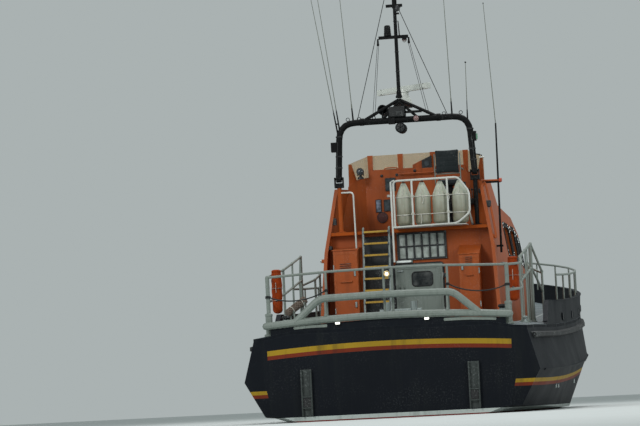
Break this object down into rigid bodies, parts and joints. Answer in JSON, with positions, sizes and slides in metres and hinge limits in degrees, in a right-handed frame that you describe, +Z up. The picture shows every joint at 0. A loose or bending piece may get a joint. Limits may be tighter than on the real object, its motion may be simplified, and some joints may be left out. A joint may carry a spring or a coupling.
{
  "type": "all-weather rescue lifeboat",
  "caption": "Decked rescue lifeboat with hard-chine hull, orange wheelhouse, raised aft cockpit, folding arch mast, stern guard rails and twin shaft propellers.",
  "frame": {"origin": "centreline amidships at the waterline", "axes": "+X starboard, +Y towards the bow, +Z up"},
  "size_m": [5.31, 16.477, 9.5007],
  "materials": {
    "navy_paint": "gloss navy topside paint",
    "orange_paint": "semi-gloss orange paint",
    "deck_paint": "non-slip deck paint",
    "antifouling": "matt red antifouling",
    "grey_paint": "satin light grey paint",
    "black_paint": "satin black paint",
    "belting_rubber": "matt",
    "bronze": "satin",
    "galvanised_steel": "dull galvanised",
    "clear_glass": "clear",
    "tinted_glass": "tinted",
    "fender_vinyl": "dull vinyl",
    "bag_fabric": "coated fabric",
    "seat_vinyl": "matt",
    "radar_plastic": "gloss",
    "tread_alloy": "matt",
    "rope_fibre": "matt"
  },
  "bodies": {
    "root": {"aerial_tall": "black_paint", "aft_bulkhead": "orange_paint", "aft_rail": "grey_paint", "arch_foot_port": "black_paint", "arch_foot_starboard": "black_paint", "belting": "belting_rubber", "bow_bitts": "galvanised_steel", "bow_rail": "grey_paint", "bulwark": "navy_paint", "cockpit_coaming": "orange_paint", "cockpit_floor": "deck_paint", "crew_seats": "seat_vinyl", "deck": "deck_paint", "fender_rack": "grey_paint", "fenders": "fender_vinyl", "front_glass": "tinted_glass", "guard_rope_port": "rope_fibre", "guard_rope_starboard": "rope_fibre", "helm_seat": "seat_vinyl", "hull": "navy_paint", "keel": "antifouling", "ladder": "tread_alloy", "locker_port": "orange_paint", "locker_starboard": "orange_paint", "rescue_bag_port": "bag_fabric", "rescue_bag_starboard": "bag_fabric", "shaft_bracket_port": "bronze", "shaft_bracket_starboard": "bronze", "side_glass_port": "tinted_glass", "side_glass_starboard": "tinted_glass", "side_rail_port": "grey_paint", "side_rail_starboard": "grey_paint", "stern_board": "navy_paint", "stern_guard": "grey_paint", "tow_bollard": "galvanised_steel", "transom_channel_port": "galvanised_steel", "transom_channel_starboard": "galvanised_steel", "vent_grille": "grey_paint", "wheelhouse_front": "orange_paint", "wheelhouse_roof": "orange_paint", "wheelhouse_side_port": "orange_paint", "wheelhouse_side_starboard": "orange_paint", "windscreen_frame": "orange_paint", "windscreen_glass": "clear_glass", "wing_handrail": "grey_paint"},
    "mast": {"mast_arch": "black_paint", "mast_pole": "black_paint", "aerial_port_outer": "black_paint", "aerial_port_inner": "black_paint", "aerial_starboard": "black_paint", "aerial_short": "black_paint"},
    "radar": {"radar_scanner": "radar_plastic"},
    "door": {"aft_door": "grey_paint"},
    "hatch": {"foredeck_hatch": "grey_paint"},
    "lid_port": {"locker_lid_port": "orange_paint"},
    "lid_starboard": {"locker_lid_starboard": "orange_paint"},
    "steering_port": {"rudder_port": "antifouling"},
    "steering_starboard": {"rudder_starboard": "antifouling"},
    "drive_port": {"propeller_port": "bronze"},
    "drive_starboard": {"propeller_starboard": "bronze"}
  },
  "joints": [
    {"name": "mast_fold", "type": "hinge", "parent": "root", "child": "mast", "pos_m": [0, -4.6, 4.25], "axis": [1, 0, 0], "range_deg": [0, 90]},
    {"name": "radar_spin", "type": "hinge", "parent": "mast", "child": "radar", "pos_m": [-0.07, -3.87, 5.86], "axis": [0, 0, 1], "continuous": true},
    {"name": "aft_door_swing", "type": "hinge", "parent": "root", "child": "door", "pos_m": [0.545, -4.5404, 2.15], "axis": [0, 0, 1], "range_deg": [0, 100]},
    {"name": "foredeck_hatch_lift", "type": "hinge", "parent": "root", "child": "hatch", "pos_m": [0, 5.8, 2.2757], "axis": [-1, 0, 0], "range_deg": [0, 100]},
    {"name": "locker_port_swing", "type": "hinge", "parent": "root", "child": "lid_port", "pos_m": [-1.337, -4.8884, 2.29], "axis": [0, 0, -1], "range_deg": [0, 110]},
    {"name": "locker_starboard_swing", "type": "hinge", "parent": "root", "child": "lid_starboard", "pos_m": [1.228, -4.8884, 2.2], "axis": [0, 0, 1], "range_deg": [0, 110]},
    {"name": "rudder_port_turn", "type": "hinge", "parent": "root", "child": "steering_port", "pos_m": [-1.05, -7.35, -0.8], "axis": [0, 0, 1], "range_deg": [-35, 35]},
    {"name": "rudder_starboard_turn", "type": "hinge", "parent": "root", "child": "steering_starboard", "pos_m": [1.05, -7.35, -0.8], "axis": [0, 0, 1], "range_deg": [-35, 35]},
    {"name": "propeller_port_spin", "type": "hinge", "parent": "root", "child": "drive_port", "pos_m": [-1.05, -6.7, -0.9], "axis": [0, 0.9781, 0.2079], "continuous": true},
    {"name": "propeller_starboard_spin", "type": "hinge", "parent": "root", "child": "drive_starboard", "pos_m": [1.05, -6.7, -0.9], "axis": [0, 0.9781, 0.2079], "continuous": true}
  ],
  "couplings": [
    {"joint": "rudder_starboard_turn", "follows": "rudder_port_turn", "ratio": 1}
  ]
}
